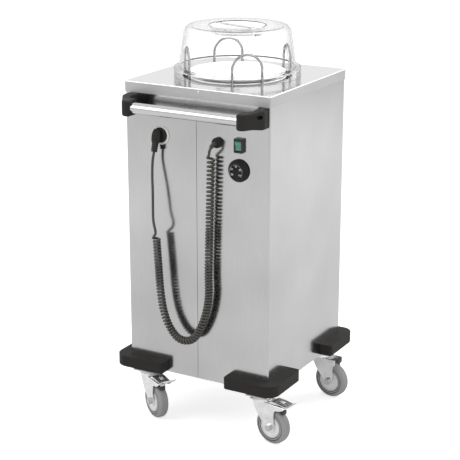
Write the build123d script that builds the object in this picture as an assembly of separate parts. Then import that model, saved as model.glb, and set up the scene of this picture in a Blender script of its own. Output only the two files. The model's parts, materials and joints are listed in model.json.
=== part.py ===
from build123d import *
import math
import os

# Heated self-levelling plate dispenser on castors. Millimetres, +Z up, front towards -Y.
# All pieces are drawn round the cabinet's own centre line; place() then moves them so that
# the origin is the centre of the bounding box, on the floor.

# ---- cabinet ----
cover_width = 430.0
cover_depth = 430.0
working_height = 940.0      # floor to the top of the cover
mount_height = 20.0         # castor mounting blocks
cover_sheet = 1.5
casing_sheet = 1.2
skirt_height = 28.0
skirt_gap = 0.5
cover_corner = 3.0
cover_edge = 2.0
rim_flange = 28.0           # width of the casing's inward flanges
seam_gap = 1.0
seam_flange = 14.0
pan_sheet = 1.5
pan_wall = 20.0
fit_gap = 0.3

# ---- plate well ----
rivet_x = 8.0
rivet_drop = 8.0
rivet_radius = 1.6
opening_play = 2.0          # wire guides to the cover's opening
collar_depth = 10.0
tube_play = 5.0             # lift springs to the tube
tube_sheet = 1.0
tube_lift = 38.0            # above the casing's underside
tube_flange = 18.0
jacket_wall = 18.0
ring_sheet = 2.0
ring_play = 3.5             # plates to the upper guide ring
top_ring_drop = 25.0        # cover top to ring underside
base_ring_lift = 12.0       # above the tube's floor
base_ring_lap = 10.0        # under the plates' edge

# ---- wire guides ----
wire_radius = 3.5
guide_play = 0.5            # plates to the wires
guide_half_width = 39.0
guide_rise = 79.0           # above the cover
guide_turn = -5.0           # degrees from the cabinet's diagonals
guide_names = ["front", "right", "back", "left"]

# ---- plates and lift ----
plate_radius = 130.0
plate_height = 26.0
plate_pitch = 12.0
plate_count = 10
plate_stand = 12.0          # top plate's rim above the cover
platform_inset = 12.0       # inside the plates' edge
platform_sheet = 2.0
arm_width = 24.0
arm_end = 6.0               # beyond the springs' axes
arm_rib = 12.0
spring_radius = 7.0
spring_wire = 1.2
hook_radius = 1.0
element_inset = 35.0        # inside the plates' edge
element_radius = 4.25
element_lift = 27.0         # above the tube's floor

# ---- lid ----
lid_wall = 3.0
lid_lap = 23.5              # rim outside the well's opening
lid_rim_height = 22.0
lid_step = 13.5             # rim to wall
lid_taper = 16.0            # wall's foot to its top
lid_height = 132.0
lid_shoulder = 18.0
lid_recess_radius = 74.0
lid_floor_radius = 63.0
lid_recess_depth = 18.0
lid_grip_width = 22.0
lid_grip_turn = -14.0

# ---- push handle ----
bar_radius = 14.0
bar_wall = 1.5
bar_drop = 56.5             # cover top to the bar's axis
bar_standoff = 55.0
bar_inset = 33.0            # the next six run in from the casing's side
bracket_inset = 58.0
bracket_neck_inset = 35.0
bracket_outer_inset = 4.0
bracket_nose_inset = 37.0
bracket_screw_inset = 12.0
bracket_back = 36.0
bracket_front = 76.0
bracket_side = 22.0
bracket_height = 49.0       # at the panel
bracket_nose_height = 42.0  # round the bar
bracket_slope = (24.0, 46.0)
bracket_ease = 60.0
bracket_round = 6.0
bracket_screw_rise = 9.0    # above the bar's axis
bracket_screw_seat = 12.0

# ---- controls on the front ----
socket_x = -107.0
socket_drop = 133.0         # cover top to the socket's and the gland's axis
socket_flange_radius = 25.3
socket_flange = 3.0
socket_cup_radius = 22.0
socket_bore_radius = 20.4
socket_bore_depth = 15.0
socket_base = 22.0
gland_x = 63.0
gland_radius = 13.5
gland_reach = 12.0
gland_thread_radius = 8.0
switch_x = 127.0
switch_drop = 133.0
switch_width = 26.0
switch_height = 37.0
switch_proud = 10.0
rocker_width = 17.4
rocker_height = 27.0
rocker_pivot = 2.0          # pivot axis in front of the panel
rocker_tilt = 9.0
rocker_crest = 6.0         # pivot to the lens's ridge
knob_x = 125.0
knob_drop = 198.3
knob_radius = 29.5
knob_cap_radius = 20.0
knob_skirt = 3.5           # straight edge below the cone
knob_gap = 1.0
knob_depth = 17.0
spindle_radius = 3.0
running_gap = 0.05

# ---- bumpers ----
bumper_proud = 34.0
bumper_leg = 118.0
bumper_height = 32.0
bumper_lift = 1.0           # above the casing's underside
bumper_end_round = 10.0
bumper_edge = 4.0

# ---- M5 pan-head screw used all over the panels ----
screw_radius = 2.5
screw_length = 16.0
screw_head_radius = 4.6
screw_head = 3.0
screw_clearance = 0.1

# ---- castors ----
castor_inset = 36.0         # swivel axis in from the casing's sides
wheel_radius = 50.0
wheel_width = 30.0
hub_radius = 31.0
hub_width = 34.0
trail = 38.0
fork_gap = 35.0
fork_sheet = 2.5
wheel_headroom = 30.0       # wheel to mounting face
race_height = 12.0
race_radius = 27.0
stem_radius = 6.0
axle_radius = 6.0
pedal_pin_radius = 3.0
pedal_pin_reach = 50.0      # along the trail
pedal_pin_drop = 8.0        # under the fork's crown
pedal_sheet = 2.2
fork_ear = 59.0             # the cheek's end along the trail
brake_ear = 90.0            # the same where a brake lever sits between the cheeks
pedal_width = 43.0
pad_gap = 3.2               # brake pad to tyre, brake off
pad_reach = 9.0             # pin to the pad, along the trail
mount_block = 66.0
mount_wall = 3.0
castor_turns = {"front_right": 10.0, "front_left": 30.0, "back_right": 8.0, "back_left": 22.0}
castor_sides = {"front_right": (1, -1), "front_left": (-1, -1), "back_right": (1, 1), "back_left": (-1, 1)}
braked = ("front_right", "front_left")

# ---- mains cord ----
cord_radius = 3.5
coil_radius = 11.25
plug_head_radius = 19.6
plug_reach = 7.0            # flat head in front of the panel
plug_grip_start = (-4.7, 10.0, 16.0)   # from the socket's axis: across, out and up
plug_grip = ((0.0, 8.0, 5.0), (0.12, 11.5, 8.0), (0.5, 12.0, 8.5), (0.58, 11.0, 8.5))   # share, half width, depth
plug_sleeve = ((0.56, 9.0, 8.2), (1.0, 7.8, 7.6))

# ---- sizes that follow ----
castor_height = 2 * wheel_radius + wheel_headroom
fork_top = castor_height - race_height
pedal_pin = (pedal_pin_reach, fork_top - pedal_pin_drop)
casing_bottom = castor_height + mount_height
tube_bottom = casing_bottom + tube_lift
base_ring_height = tube_bottom + base_ring_lift
element_height = tube_bottom + element_lift
guide_distance = plate_radius + guide_play + wire_radius
well_opening_radius = math.hypot(guide_distance, guide_half_width) + wire_radius + opening_play
spring_circle = well_opening_radius + spring_radius
tube_radius = spring_circle + spring_radius + tube_play
ring_inner_radius = plate_radius + ring_play
element_circle = plate_radius - element_inset
platform_radius = plate_radius - platform_inset
arm_reach = spring_circle + arm_end
lid_rim_radius = well_opening_radius + lid_lap
lid_step_radius = lid_rim_radius - lid_step
lid_top_radius = lid_step_radius - lid_taper
casing_x = cover_width / 2 - cover_sheet - skirt_gap
casing_y = cover_depth / 2 - cover_sheet - skirt_gap
casing_top = working_height - cover_sheet
front = -casing_y
bar_height = working_height - bar_drop
bar_half_length = casing_x - bar_inset
bracket_inner = casing_x - bracket_inset
bracket_neck = casing_x - bracket_neck_inset
bracket_outer = casing_x - bracket_outer_inset
bracket_nose = casing_x - bracket_nose_inset
bracket_screw_x = casing_x - bracket_screw_inset
socket_z = working_height - socket_drop
gland_z = socket_z
switch_z = working_height - switch_drop
knob_z = working_height - knob_drop
bumper_bottom = casing_bottom + bumper_lift
castor_x = casing_x - castor_inset
castor_y = casing_y - castor_inset
pan_top = casing_bottom + casing_sheet + pan_sheet
platform_top = working_height + plate_stand - plate_height - (plate_count - 1) * plate_pitch
ring_top = working_height - top_ring_drop
pedal_reach = 113.0
toe_turn = math.radians(castor_turns["front_right"])
reach_right = castor_x + pedal_reach * math.cos(toe_turn) + pedal_width / 2 * math.sin(toe_turn)
reach_left = casing_x + bumper_proud
reach_back = casing_y + bumper_proud
reach_front = casing_y + bracket_front
shift_x = (reach_left - reach_right) / 2
shift_y = (reach_front - reach_back) / 2


def block(x0, x1, y0, y1, z0, z1):
    """Box between two corners."""
    middle = Pos((x0 + x1) / 2, (y0 + y1) / 2, (z0 + z1) / 2)
    return middle * Box(x1 - x0, y1 - y0, z1 - z0)


def rod(x, y, z0, z1, radius):
    """Upright cylinder."""
    return Pos(x, y, (z0 + z1) / 2) * Cylinder(radius, z1 - z0)


def ring(z0, z1, inner, outer):
    """Flat ring or tube round the stack axis."""
    return rod(0, 0, z0, z1, outer) - rod(0, 0, z0 - 1, z1 + 1, inner)


def front_rod(x, z, out0, out1, radius):
    """Cylinder square to the front panel, from out0 to out1 in front of its face."""
    middle = front - (out0 + out1) / 2
    return Pos(x, middle, z) * Rot(90, 0, 0) * Cylinder(radius, out1 - out0)


def around(shape, count=4, start=0.0):
    """Copies of a shape turned round the stack axis."""
    return [Rot(0, 0, start + 360.0 / count * i) * shape for i in range(count)]


def corner_points():
    """The four castor positions."""
    return {name: (sx * castor_x, sy * castor_y) for name, (sx, sy) in castor_sides.items()}


# ---- fasteners and where they go ----

def screw_body(radius_gap=0.0):
    """Pan-head screw along +Z, underside of its head at the origin, shank down."""
    shank = rod(0, 0, -screw_length, 0, screw_radius + radius_gap)
    head = rod(0, 0, 0, screw_head, screw_head_radius + radius_gap)
    return shank + head


def screw_places():
    """Each screw's seat and direction: bumper screws from inside, bracket screws from the front."""
    places = []
    inside_x = casing_x - casing_sheet
    inside_y = casing_y - casing_sheet
    height = bumper_bottom + bumper_height / 2
    along = bumper_leg * 0.6
    for sx, sy in castor_sides.values():
        places.append(Pos(sx * inside_x, sy * (casing_y - along), height) * Rot(0, -90 * sx, 0))
        places.append(Pos(sx * (casing_x - along), sy * inside_y, height) * Rot(90 * sy, 0, 0))
    for side in (-1, 1):
        seat = front - bracket_screw_seat
        places.append(Pos(side * bracket_screw_x, seat, bar_height + bracket_screw_rise) * Rot(90, 0, 0))
    return places


def screw_holes():
    return [place * screw_body(screw_clearance) for place in screw_places()]


# ---- cover and casing ----

def deck_cover():
    outer = block(-cover_width / 2, cover_width / 2, -cover_depth / 2, cover_depth / 2,
                  working_height - skirt_height, working_height)
    outer = fillet(outer.edges().filter_by(Axis.Z), cover_corner)
    outer = fillet(outer.faces().sort_by(Axis.Z)[-1].edges(), cover_edge)
    inner = block(-casing_x - skirt_gap, casing_x + skirt_gap, -casing_y - skirt_gap, casing_y + skirt_gap,
                  working_height - skirt_height - 1, working_height - cover_sheet)
    inner = fillet(inner.edges().filter_by(Axis.Z), cover_corner - cover_sheet)
    opening = rod(0, 0, working_height - collar_depth - 1, working_height + 1, well_opening_radius)
    collar = ring(working_height - collar_depth, working_height - cover_sheet / 2,
                  well_opening_radius, well_opening_radius + cover_sheet)
    cover = outer - inner - opening + collar
    for spot in rivet_places():
        cover -= spot * rod(0, 0, -5, 5, rivet_radius + running_gap)
    return cover


def rivet_places():
    """Middle of the front and back skirts, outer face, looking outwards."""
    height = working_height - rivet_drop
    return [Pos(rivet_x, side * cover_depth / 2, height) * Rot(-90 * side, 0, 0) for side in (-1, 1)]


def deck_rivets():
    shank = rod(0, 0, -cover_sheet - skirt_gap, 0, rivet_radius)
    head = rod(0, 0, 0, 0.9, 2.6)
    return [spot * (shank + head) for spot in rivet_places()]


def casing_cuts():
    cuts = [
        front_rod(socket_x, socket_z, -5, 5, socket_cup_radius + fit_gap),
        front_rod(gland_x, gland_z, -5, 5, gland_thread_radius + fit_gap),
        front_rod(knob_x, knob_z, -5, 5, spindle_radius + 2.0),
        block(switch_x - 11.2, switch_x + 11.2, front - 5, front + 5, switch_z - 15.2, switch_z + 15.2),
    ]
    return cuts + screw_holes()


def casing_half(side):
    """Left (-1) or right (+1) shell: half the front, one side and half the back."""
    wall = block(-casing_x, casing_x, -casing_y, casing_y, casing_bottom, casing_top)
    wall = fillet(wall.edges().filter_by(Axis.Z), cover_corner)
    inner_x = casing_x - casing_sheet
    inner_y = casing_y - casing_sheet
    hollow = block(-inner_x, inner_x, -inner_y, inner_y, casing_bottom + casing_sheet, casing_top - casing_sheet)
    mouth_x = casing_x - rim_flange
    mouth_y = casing_y - rim_flange
    mouth = block(-mouth_x, mouth_x, -mouth_y, mouth_y, casing_bottom - 1, casing_top + 1)
    mouth += rod(0, 0, casing_top - 5, casing_top + 1, tube_radius + tube_sheet + tube_flange + fit_gap)
    shell = wall - hollow - mouth
    near = seam_gap / 2
    kept = block(near, casing_x + 1, -casing_y - 1, casing_y + 1, casing_bottom - 1, casing_top + 1)
    shell = shell & (kept if side > 0 else mirror(kept, Plane.YZ))
    low = pan_top + pan_wall + 5
    for y in (-1, 1):
        flange = block(near, near + casing_sheet, inner_y - seam_flange, inner_y, low, casing_top - casing_sheet)
        flange = flange if y > 0 else mirror(flange, Plane.XZ)
        shell += flange if side > 0 else mirror(flange, Plane.YZ)
    for cut in casing_cuts():
        shell -= cut
    return shell


def base_pan():
    edge_x = casing_x - casing_sheet - fit_gap
    edge_y = casing_y - casing_sheet - fit_gap
    low = casing_bottom + casing_sheet
    pan = block(-edge_x, edge_x, -edge_y, edge_y, low, low + pan_wall)
    pan -= block(-edge_x + pan_sheet, edge_x - pan_sheet, -edge_y + pan_sheet, edge_y - pan_sheet,
                 low + pan_sheet, low + pan_wall + 1)
    for x, y in corner_points().values():
        pan -= rod(x, y, low - 1, low + pan_sheet + 1, stem_radius + fit_gap)
    for place in screw_places():
        pan -= place * rod(0, 0, -screw_length, screw_head + 3, screw_head_radius + 1.5)
    return pan


def castor_mounts():
    """Box-section blocks that carry the castors below the casing's flange."""
    blocks = []
    half = mount_block / 2
    for x, y in corner_points().values():
        body = block(x - half, x + half, y - half, y + half, castor_height, casing_bottom)
        body -= block(x - half + mount_wall, x + half - mount_wall, y - half - 1, y + half + 1,
                      castor_height + mount_wall, casing_bottom - mount_wall)
        body -= rod(x, y, castor_height - 1, casing_bottom + 1, stem_radius + fit_gap)
        blocks.append(body)
    return blocks


# ---- plate well ----

def well_tube():
    outer = tube_radius + tube_sheet
    tube = ring(tube_bottom, casing_top, tube_radius, outer)
    tube += rod(0, 0, tube_bottom, tube_bottom + tube_sheet, outer)
    tube += ring(casing_top - tube_sheet, casing_top, tube_radius, outer + tube_flange)
    for x in (-element_circle, element_circle):
        tube -= rod(x, 0, tube_bottom - 1, tube_bottom + 5, element_radius + running_gap)
    return tube


def insulation_jacket():
    inner = tube_radius + tube_sheet + fit_gap
    return ring(tube_bottom + 12, casing_top - tube_sheet - fit_gap, inner, inner + jacket_wall)


def guide_feet(name):
    """Where one guide's two legs stand, in plan."""
    turn = math.radians(-45.0 + guide_turn + 90.0 * guide_names.index(name))
    out = (math.cos(turn), math.sin(turn))
    side = (-math.sin(turn), math.cos(turn))
    return [(out[0] * guide_distance + s * side[0] * guide_half_width,
             out[1] * guide_distance + s * side[1] * guide_half_width) for s in (-1, 1)]


def guide_ring(z, inner):
    plate = ring(z, z + ring_sheet, inner, tube_radius - 0.2)
    for name in guide_names:
        for x, y in guide_feet(name):
            plate -= rod(x, y, z - 1, z + ring_sheet + 1, wire_radius + running_gap)
    return plate


def guide_ring_top():
    plate = guide_ring(ring_top, ring_inner_radius)
    for hole in around(rod(spring_circle, 0, ring_top - 1, ring_top + ring_sheet + 1, hook_radius + 0.6)):
        plate -= hole
    return plate


def wire_guide(name):
    """Inverted U of round wire: two long legs joined by a half circle."""
    (x0, y0), (x1, y1) = guide_feet(name)
    crown = working_height + guide_rise - wire_radius - guide_half_width
    low = Vector(x0, y0, base_ring_height)
    left = Vector(x0, y0, crown)
    top = Vector((x0 + x1) / 2, (y0 + y1) / 2, crown + guide_half_width)
    right = Vector(x1, y1, crown)
    path = Wire([Line(low, left), ThreePointArc(left, top, right), Line(right, Vector(x1, y1, base_ring_height))])
    return sweep(Plane(origin=low, z_dir=(0, 0, 1)) * Circle(wire_radius), path=path)


def heating_element():
    """Ring of tubular element whose two tails pass down through the well's floor."""
    loop = Pos(0, 0, element_height) * Torus(element_circle, element_radius)
    tails = [rod(x, 0, tube_bottom - 6, element_height, element_radius) for x in (-element_circle, element_circle)]
    return loop + tails[0] + tails[1]


def terminal_box():
    body = block(-60, 60, -35, 35, pan_top, tube_bottom - 7)
    body = fillet(body.edges().filter_by(Axis.Z), 4)
    return body - block(-56, 56, -31, 31, pan_top + 3, tube_bottom - 10)


# ---- lift ----

def platform():
    low = platform_top - platform_sheet
    plate = rod(0, 0, low, platform_top, platform_radius)
    plate -= rod(0, 0, low - 1, platform_top + 1, 30)
    for hole in around(rod(75, 0, low - 1, platform_top + 1, 15), 8, 22.5):
        plate -= hole
    half = arm_width / 2
    for turn in range(4):
        arm = block(platform_radius - 30, arm_reach, -half, half, low, platform_top)
        for y in (-1, 1):
            rib = block(platform_radius - 30, arm_reach, half - platform_sheet, half, low - arm_rib, low)
            arm += rib if y > 0 else mirror(rib, Plane.XZ)
        arm -= rod(spring_circle, 0, low - 1, platform_top + 1, hook_radius + 0.6)
        plate += Rot(0, 0, 90 * turn) * arm
    return plate


def plate_profile():
    """Half section of one plate, foot ring at z = 0, drawn in the XZ plane."""
    foot = plate_height - 20.0
    base = foot + 6.0
    points = [(0, foot), (66, foot), (68, 0), (74, 0), (77, foot), (96, foot + 2), (116, foot + 9),
              (plate_radius - 2, plate_height - 5), (plate_radius, plate_height - 2),
              (plate_radius - 2, plate_height), (114, base + 7), (94, base), (0, base)]
    return make_face(Plane.XZ * Polyline(*points, close=True))


def plates():
    one = revolve(plate_profile(), Axis.Z)
    return [Pos(0, 0, platform_top + i * plate_pitch) * one for i in range(plate_count)]


def lift_springs():
    """Closed-coil extension springs, drawn as tubes, with a hook at each end."""
    low = platform_top
    high = ring_top
    body = rod(0, 0, low + 10, high - 10, spring_radius)
    body -= rod(0, 0, low + 9, high - 9, spring_radius - spring_wire)
    reach = 5.0
    for z0, z1, bend in ((low - platform_sheet - 2.2, low + 11, low - platform_sheet - 1.2),
                         (high - 11, high + ring_sheet + 2.2, high + ring_sheet + 1.2)):
        body += rod(0, 0, z0, z1, hook_radius)
        body += Pos(0, reach / 2, bend) * Rot(90, 0, 0) * Cylinder(hook_radius, reach)
    for z in (low + 10.5, high - 10.5):
        body += Pos(0, 0, z) * Box(2 * spring_radius - 1, 2 * hook_radius, 2 * hook_radius)
    return around(Pos(spring_circle, 0, 0) * body)


# ---- lid ----

def lid_section(inset):
    """Half section of the dome, moved in by inset; the inner skin uses the wall as inset."""
    top = lid_height - inset
    rim = lid_rim_radius - inset
    step = lid_step_radius - inset
    crown = lid_top_radius - inset
    floor = top - lid_recess_depth
    base = -1.0 if inset else 0.0
    recess = lid_recess_radius + (inset if inset else 0.0)
    pocket = lid_floor_radius + (inset if inset else 0.0)
    points = [(0, base), (rim, base), (rim, lid_rim_height - inset), (step, lid_rim_height + 3 - inset),
              (crown, top), (recess, top), (pocket, floor), (0, floor)]
    return make_face(Plane.XZ * Polyline(*points, close=True))


def lid_dome(inset):
    dome = revolve(lid_section(inset), Axis.Z)
    circles = dome.edges().filter_by(GeomType.CIRCLE)
    shoulder = [e for e in circles if abs(e.radius - (lid_top_radius - inset)) < 0.01]
    dome = fillet(shoulder, lid_shoulder - inset)
    circles = dome.edges().filter_by(GeomType.CIRCLE)
    step = lid_step_radius - inset
    rim = lid_rim_radius - inset
    soft = [e for e in circles if e.center().Z > 5 and min(abs(e.radius - step), abs(e.radius - rim)) < 0.01]
    return fillet(soft, 2.5)


def lid():
    """Clear dome with a flared rim and a dished top that a hollow grip ridge crosses."""
    shell = lid_dome(0.0) - lid_dome(lid_wall)
    floor = lid_height - lid_recess_depth
    half = lid_grip_width / 2
    ridge = block(-lid_recess_radius - 2, lid_recess_radius + 2, -half, half, floor - lid_wall, lid_height - 1)
    ridge = fillet(ridge.edges().filter_by(Axis.X).group_by(Axis.Z)[-1], 5)
    well = rod(0, 0, floor - lid_wall, lid_height, lid_recess_radius + lid_wall)
    cavity = block(-lid_floor_radius + 2, lid_floor_radius - 2, -half + lid_wall, half - lid_wall,
                   floor - lid_wall - 1, lid_height - 1 - lid_wall)
    cavity = fillet(cavity.edges().filter_by(Axis.X).group_by(Axis.Z)[-1], 2)
    turned = Rot(0, 0, lid_grip_turn)
    shell = shell + turned * (ridge & well) - turned * cavity
    return Pos(0, 0, working_height) * shell


# ---- push handle ----

def push_bar():
    bar = Cylinder(bar_radius, 2 * bar_half_length) - Cylinder(bar_radius - bar_wall, 2 * bar_half_length + 2)
    return Pos(0, front - bar_standoff, bar_height) * Rot(0, 90, 0) * bar


def sharp(edge, solid):
    """True where the two faces at an edge meet at an angle."""
    sides = [face for face in solid.faces() if any(edge.is_same(other) for other in face.edges())]
    normals = [face.normal_at(edge.position_at(0.5)) for face in sides]
    return len(normals) == 2 and normals[0].get_angle(normals[1]) > 10


def handle_bracket(side):
    """Bent horn: a foot on the panel and, inboard and further out, the socket for the bar."""
    points = [(bracket_neck, 0), (bracket_neck, bracket_back), (bracket_inner, bracket_back),
              (bracket_inner, bracket_front), (bracket_nose, bracket_front), (bracket_outer, bracket_side),
              (bracket_outer, 0)]
    plan = make_face(Polyline(*[(x, -out) for x, out in points], close=True))
    horn = Pos(0, front, bar_height - bracket_height / 2) * extrude(plan, bracket_height)
    rounds = {(bracket_neck, bracket_back): 8.0, (bracket_inner, bracket_back): 8.0,
              (bracket_inner, bracket_front): 10.0, (bracket_nose, bracket_front): 14.0,
              (bracket_outer, bracket_side): 16.0}
    for (x, out), radius in rounds.items():
        upright = horn.edges().filter_by(Axis.Z).sort_by_distance((x, front - out, bar_height))[0]
        horn = fillet(upright, radius)
    tall = bracket_height / 2
    low = bracket_nose_height / 2
    near, far = bracket_slope
    end = bracket_front + 1
    side_view = [(0, -tall), (0, tall), (near, tall), (far, low), (end, low), (end, -low), (far, -low), (near, -tall)]
    side_face = make_face(Plane.YZ * Polyline(*[(front - out, bar_height + z) for out, z in side_view], close=True))
    taper = extrude(side_face, bracket_outer + 5, dir=(1, 0, 0))
    creases = [e for e in taper.edges().filter_by(Axis.X) if front - end + 1 < e.center().Y < front - 1]
    horn &= fillet(creases, bracket_ease)
    rims = [e for e in horn.edges() if e.center().Y < front - 0.5 and abs(e.center().Z - bar_height) > low - 2
            and sharp(e, horn)]
    horn = fillet(rims, bracket_round)
    bore = Pos((bracket_inner + bar_half_length) / 2 - 2, front - bar_standoff, bar_height)
    horn -= bore * Rot(0, 90, 0) * Cylinder(bar_radius + 0.02, bar_half_length - bracket_inner + 4.4)
    well = front_rod(bracket_screw_x, bar_height + bracket_screw_rise, bracket_screw_seat, bracket_front,
                     screw_head_radius + 0.6)
    hole = front_rod(bracket_screw_x, bar_height + bracket_screw_rise, -1, bracket_screw_seat + 1,
                     screw_radius + screw_clearance)
    horn = horn - well - hole
    return horn if side > 0 else mirror(horn, Plane.YZ)


# ---- socket, gland, switch, thermostat ----

def parking_socket():
    """White dummy socket that the plug is parked in."""
    depth = socket_bore_depth + socket_base
    body = front_rod(socket_x, socket_z, 0, socket_flange, socket_flange_radius)
    body = fillet(body.edges().sort_by(Axis.Y)[0], 1.2)
    body += front_rod(socket_x, socket_z, -depth, 0.5, socket_cup_radius)
    body -= front_rod(socket_x, socket_z, -socket_bore_depth, socket_flange + 1, socket_bore_radius)
    for x in (-9.5, 9.5):
        body -= front_rod(socket_x + x, socket_z, -socket_bore_depth - 20, -socket_bore_depth + 1, 2.6)
    return body


def cord_gland():
    """Cable gland: domed nut in front, thread and locknut behind the panel."""
    dome = front_rod(gland_x, gland_z, 0, gland_reach, gland_radius)
    dome = fillet(dome.edges().sort_by(Axis.Y)[0], 5)
    thread = front_rod(gland_x, gland_z, -14, 0.5, gland_thread_radius)
    nut = Pos(gland_x, front + casing_sheet + 2.5, gland_z) * Rot(90, 0, 0)
    nut = nut * extrude(RegularPolygon(12, 6), 2.5, both=True)
    return dome + thread + nut


def switch_frame():
    """Deep bezel with the snap-in body behind the panel and the well that the rocker turns in."""
    half_x = switch_width / 2
    half_z = switch_height / 2
    bezel = block(-half_x, half_x, -switch_proud, 0, -half_z, half_z)
    bezel = fillet(bezel.edges().filter_by(Axis.Y), 2.5)
    bezel = chamfer(bezel.faces().sort_by(Axis.Y)[0].edges(), 1.2)
    bezel += block(-11, 11, -0.5, 22, -15, 15)
    mouth = rocker_width / 2 + fit_gap
    bezel -= block(-mouth, mouth, -switch_proud - 1, 1 - rocker_pivot, -rocker_height / 2 - 0.6, rocker_height / 2 + 0.6)
    turn = Pos(0, -rocker_pivot, 0) * Rot(0, 90, 0)
    bezel -= turn * Cylinder(rocker_height / 2 + 0.6, 2 * mouth)
    bezel -= turn * Cylinder(2 + running_gap, 2 * mouth + 3)
    for x in (-5, 5):
        bezel += block(x - 0.4, x + 0.4, 21, 28, -3.2, 3.2)
    return Pos(switch_x, front, switch_z) * bezel


def rocker():
    """Lens rocker, resting on its upper stop; its flanks are a cylinder round the pivot."""
    turn = Rot(0, 90, 0)
    body = turn * Cylinder(rocker_height / 2, rocker_width)
    for tip in (-1, 1):
        body -= Rot(tip * rocker_tilt, 0, 0) * Pos(0, -rocker_crest - 10, tip * 10) * Box(40, 20, 20)
    body -= block(-20, 20, 6, 20, -20, 20)
    body += turn * Cylinder(2.0, rocker_width + 2 * fit_gap + 2.4)
    return Pos(switch_x, front - rocker_pivot, switch_z) * Rot(rocker_tilt, 0, 0) * body


def thermostat_body():
    inner = casing_sheet
    body = front_rod(knob_x, knob_z, -inner - 6, -inner, 5.5)
    body += block(knob_x - 18, knob_x + 18, front + inner + 6, front + inner + 30, knob_z - 18, knob_z + 18)
    body += block(knob_x - 16, knob_x + 16, front + inner, front + inner + 6.5, knob_z - 4, knob_z + 4)
    body -= front_rod(knob_x, knob_z, -inner - 22, 1, spindle_radius + running_gap)
    for z in (-10, 10):
        body += block(knob_x - 3.2, knob_x + 3.2, front + inner + 29, front + inner + 37, knob_z + z - 0.4, knob_z + z + 0.4)
    return body


def thermostat_spindle():
    return front_rod(knob_x, knob_z, -casing_sheet - 20, knob_gap + knob_depth - 4, spindle_radius)


def thermostat_knob():
    """Round knob: a skirt, a cone that carries the numbers and a pointer ridge on its cap."""
    half_side = [(0, 0), (knob_radius, 0), (knob_radius, knob_skirt), (knob_cap_radius + 2, knob_depth - 2.5),
                 (knob_cap_radius, knob_depth - 1), (0, knob_depth - 1)]
    turned = revolve(make_face(Plane.XZ * Polyline(*half_side, close=True)), Axis.Z)
    turned = fillet(turned.edges().filter_by(GeomType.CIRCLE).sort_by(SortBy.RADIUS)[-2:], 1.0)
    ridge = block(-2, 2, 4, knob_cap_radius - 2, knob_depth - 3, knob_depth)
    body = Pos(knob_x, front - knob_gap, knob_z) * Rot(90, 0, 0) * (turned + Rot(0, 0, 35) * ridge)
    bore_end = knob_gap + knob_depth - 4
    return body - front_rod(knob_x, knob_z, knob_gap - 1, bore_end, spindle_radius + 0.01)


# ---- bumpers ----

def bumper(name):
    """L-shaped corner buffer with a round outer corner and rounded ends."""
    end_x = casing_x - bumper_leg
    end_y = casing_y - bumper_leg
    out_x = casing_x + bumper_proud
    out_y = casing_y + bumper_proud
    elbow = bumper_proud * math.sqrt(0.5)
    outline = Wire([
        Line((casing_x, casing_y), (end_x, casing_y)), Line((end_x, casing_y), (end_x, out_y)),
        Line((end_x, out_y), (casing_x, out_y)),
        ThreePointArc((casing_x, out_y), (casing_x + elbow, casing_y + elbow), (out_x, casing_y)),
        Line((out_x, casing_y), (out_x, end_y)), Line((out_x, end_y), (casing_x, end_y)),
        Line((casing_x, end_y), (casing_x, casing_y))])
    body = Pos(0, 0, bumper_bottom) * extrude(make_face(outline), bumper_height)
    for corner in ((end_x, out_y), (out_x, end_y)):
        upright = body.edges().filter_by(Axis.Z).sort_by_distance((*corner, bumper_bottom + bumper_height / 2))[0]
        body = fillet(upright, bumper_end_round)
    for face in (body.faces().sort_by(Axis.Z)[-1], body.faces().sort_by(Axis.Z)[0]):
        rim = [e for e in face.edges() if max(e.center().X - casing_x, e.center().Y - casing_y) > 0.5]
        body = fillet(rim, bumper_edge)
    sx, sy = castor_sides[name]
    if sx < 0:
        body = mirror(body, Plane.YZ)
    if sy < 0:
        body = mirror(body, Plane.XZ)
    for hole in screw_holes():
        body -= hole
    return body


# ---- castors, drawn with the swivel axis at the origin and the wheel trailing along +X ----

def castor_place(name):
    x, y = corner_points()[name]
    return Pos(x, y, 0) * Rot(0, 0, -castor_turns[name])


def side_plate(outline, y0, y1):
    """A shape drawn along the trail and up, given its thickness across the wheel."""
    face = make_face(Plane.XZ * outline)
    return Pos(0, y0, 0) * extrude(face, y1 - y0, dir=(0, 1, 0))


def fork_outline(has_brake):
    """Cheek, drawn along the trail and up: neck, ear (only with a brake), leg and round foot."""
    leg = trail + 15
    inner = fork_top - 15
    edges = [Line((-race_radius, fork_top), (fork_ear, fork_top))]
    if has_brake:
        edges = [Line((-race_radius, fork_top), (brake_ear, fork_top)),
                 Line((brake_ear, fork_top), (brake_ear, fork_top - 2)),
                 ThreePointArc((brake_ear, fork_top - 2), (brake_ear - 14, fork_top - 12), (fork_ear, inner))]
    else:
        edges.append(Line((fork_ear, fork_top), (fork_ear, inner)))
    edges += [Line((fork_ear, inner), (leg, inner - 7)), Line((leg, inner - 7), (leg, wheel_radius)),
              ThreePointArc((leg, wheel_radius), (trail + 4, wheel_radius - 12), (trail - 10, wheel_radius - 4)),
              Line((trail - 10, wheel_radius - 4), (-3, fork_top - 36)),
              Line((-3, fork_top - 36), (-14, fork_top - 16)), Line((-14, fork_top - 16), (-16, fork_top - 6)),
              Line((-16, fork_top - 6), (-race_radius, fork_top - 3)),
              Line((-race_radius, fork_top - 3), (-race_radius, fork_top))]
    return Wire(edges)


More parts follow.
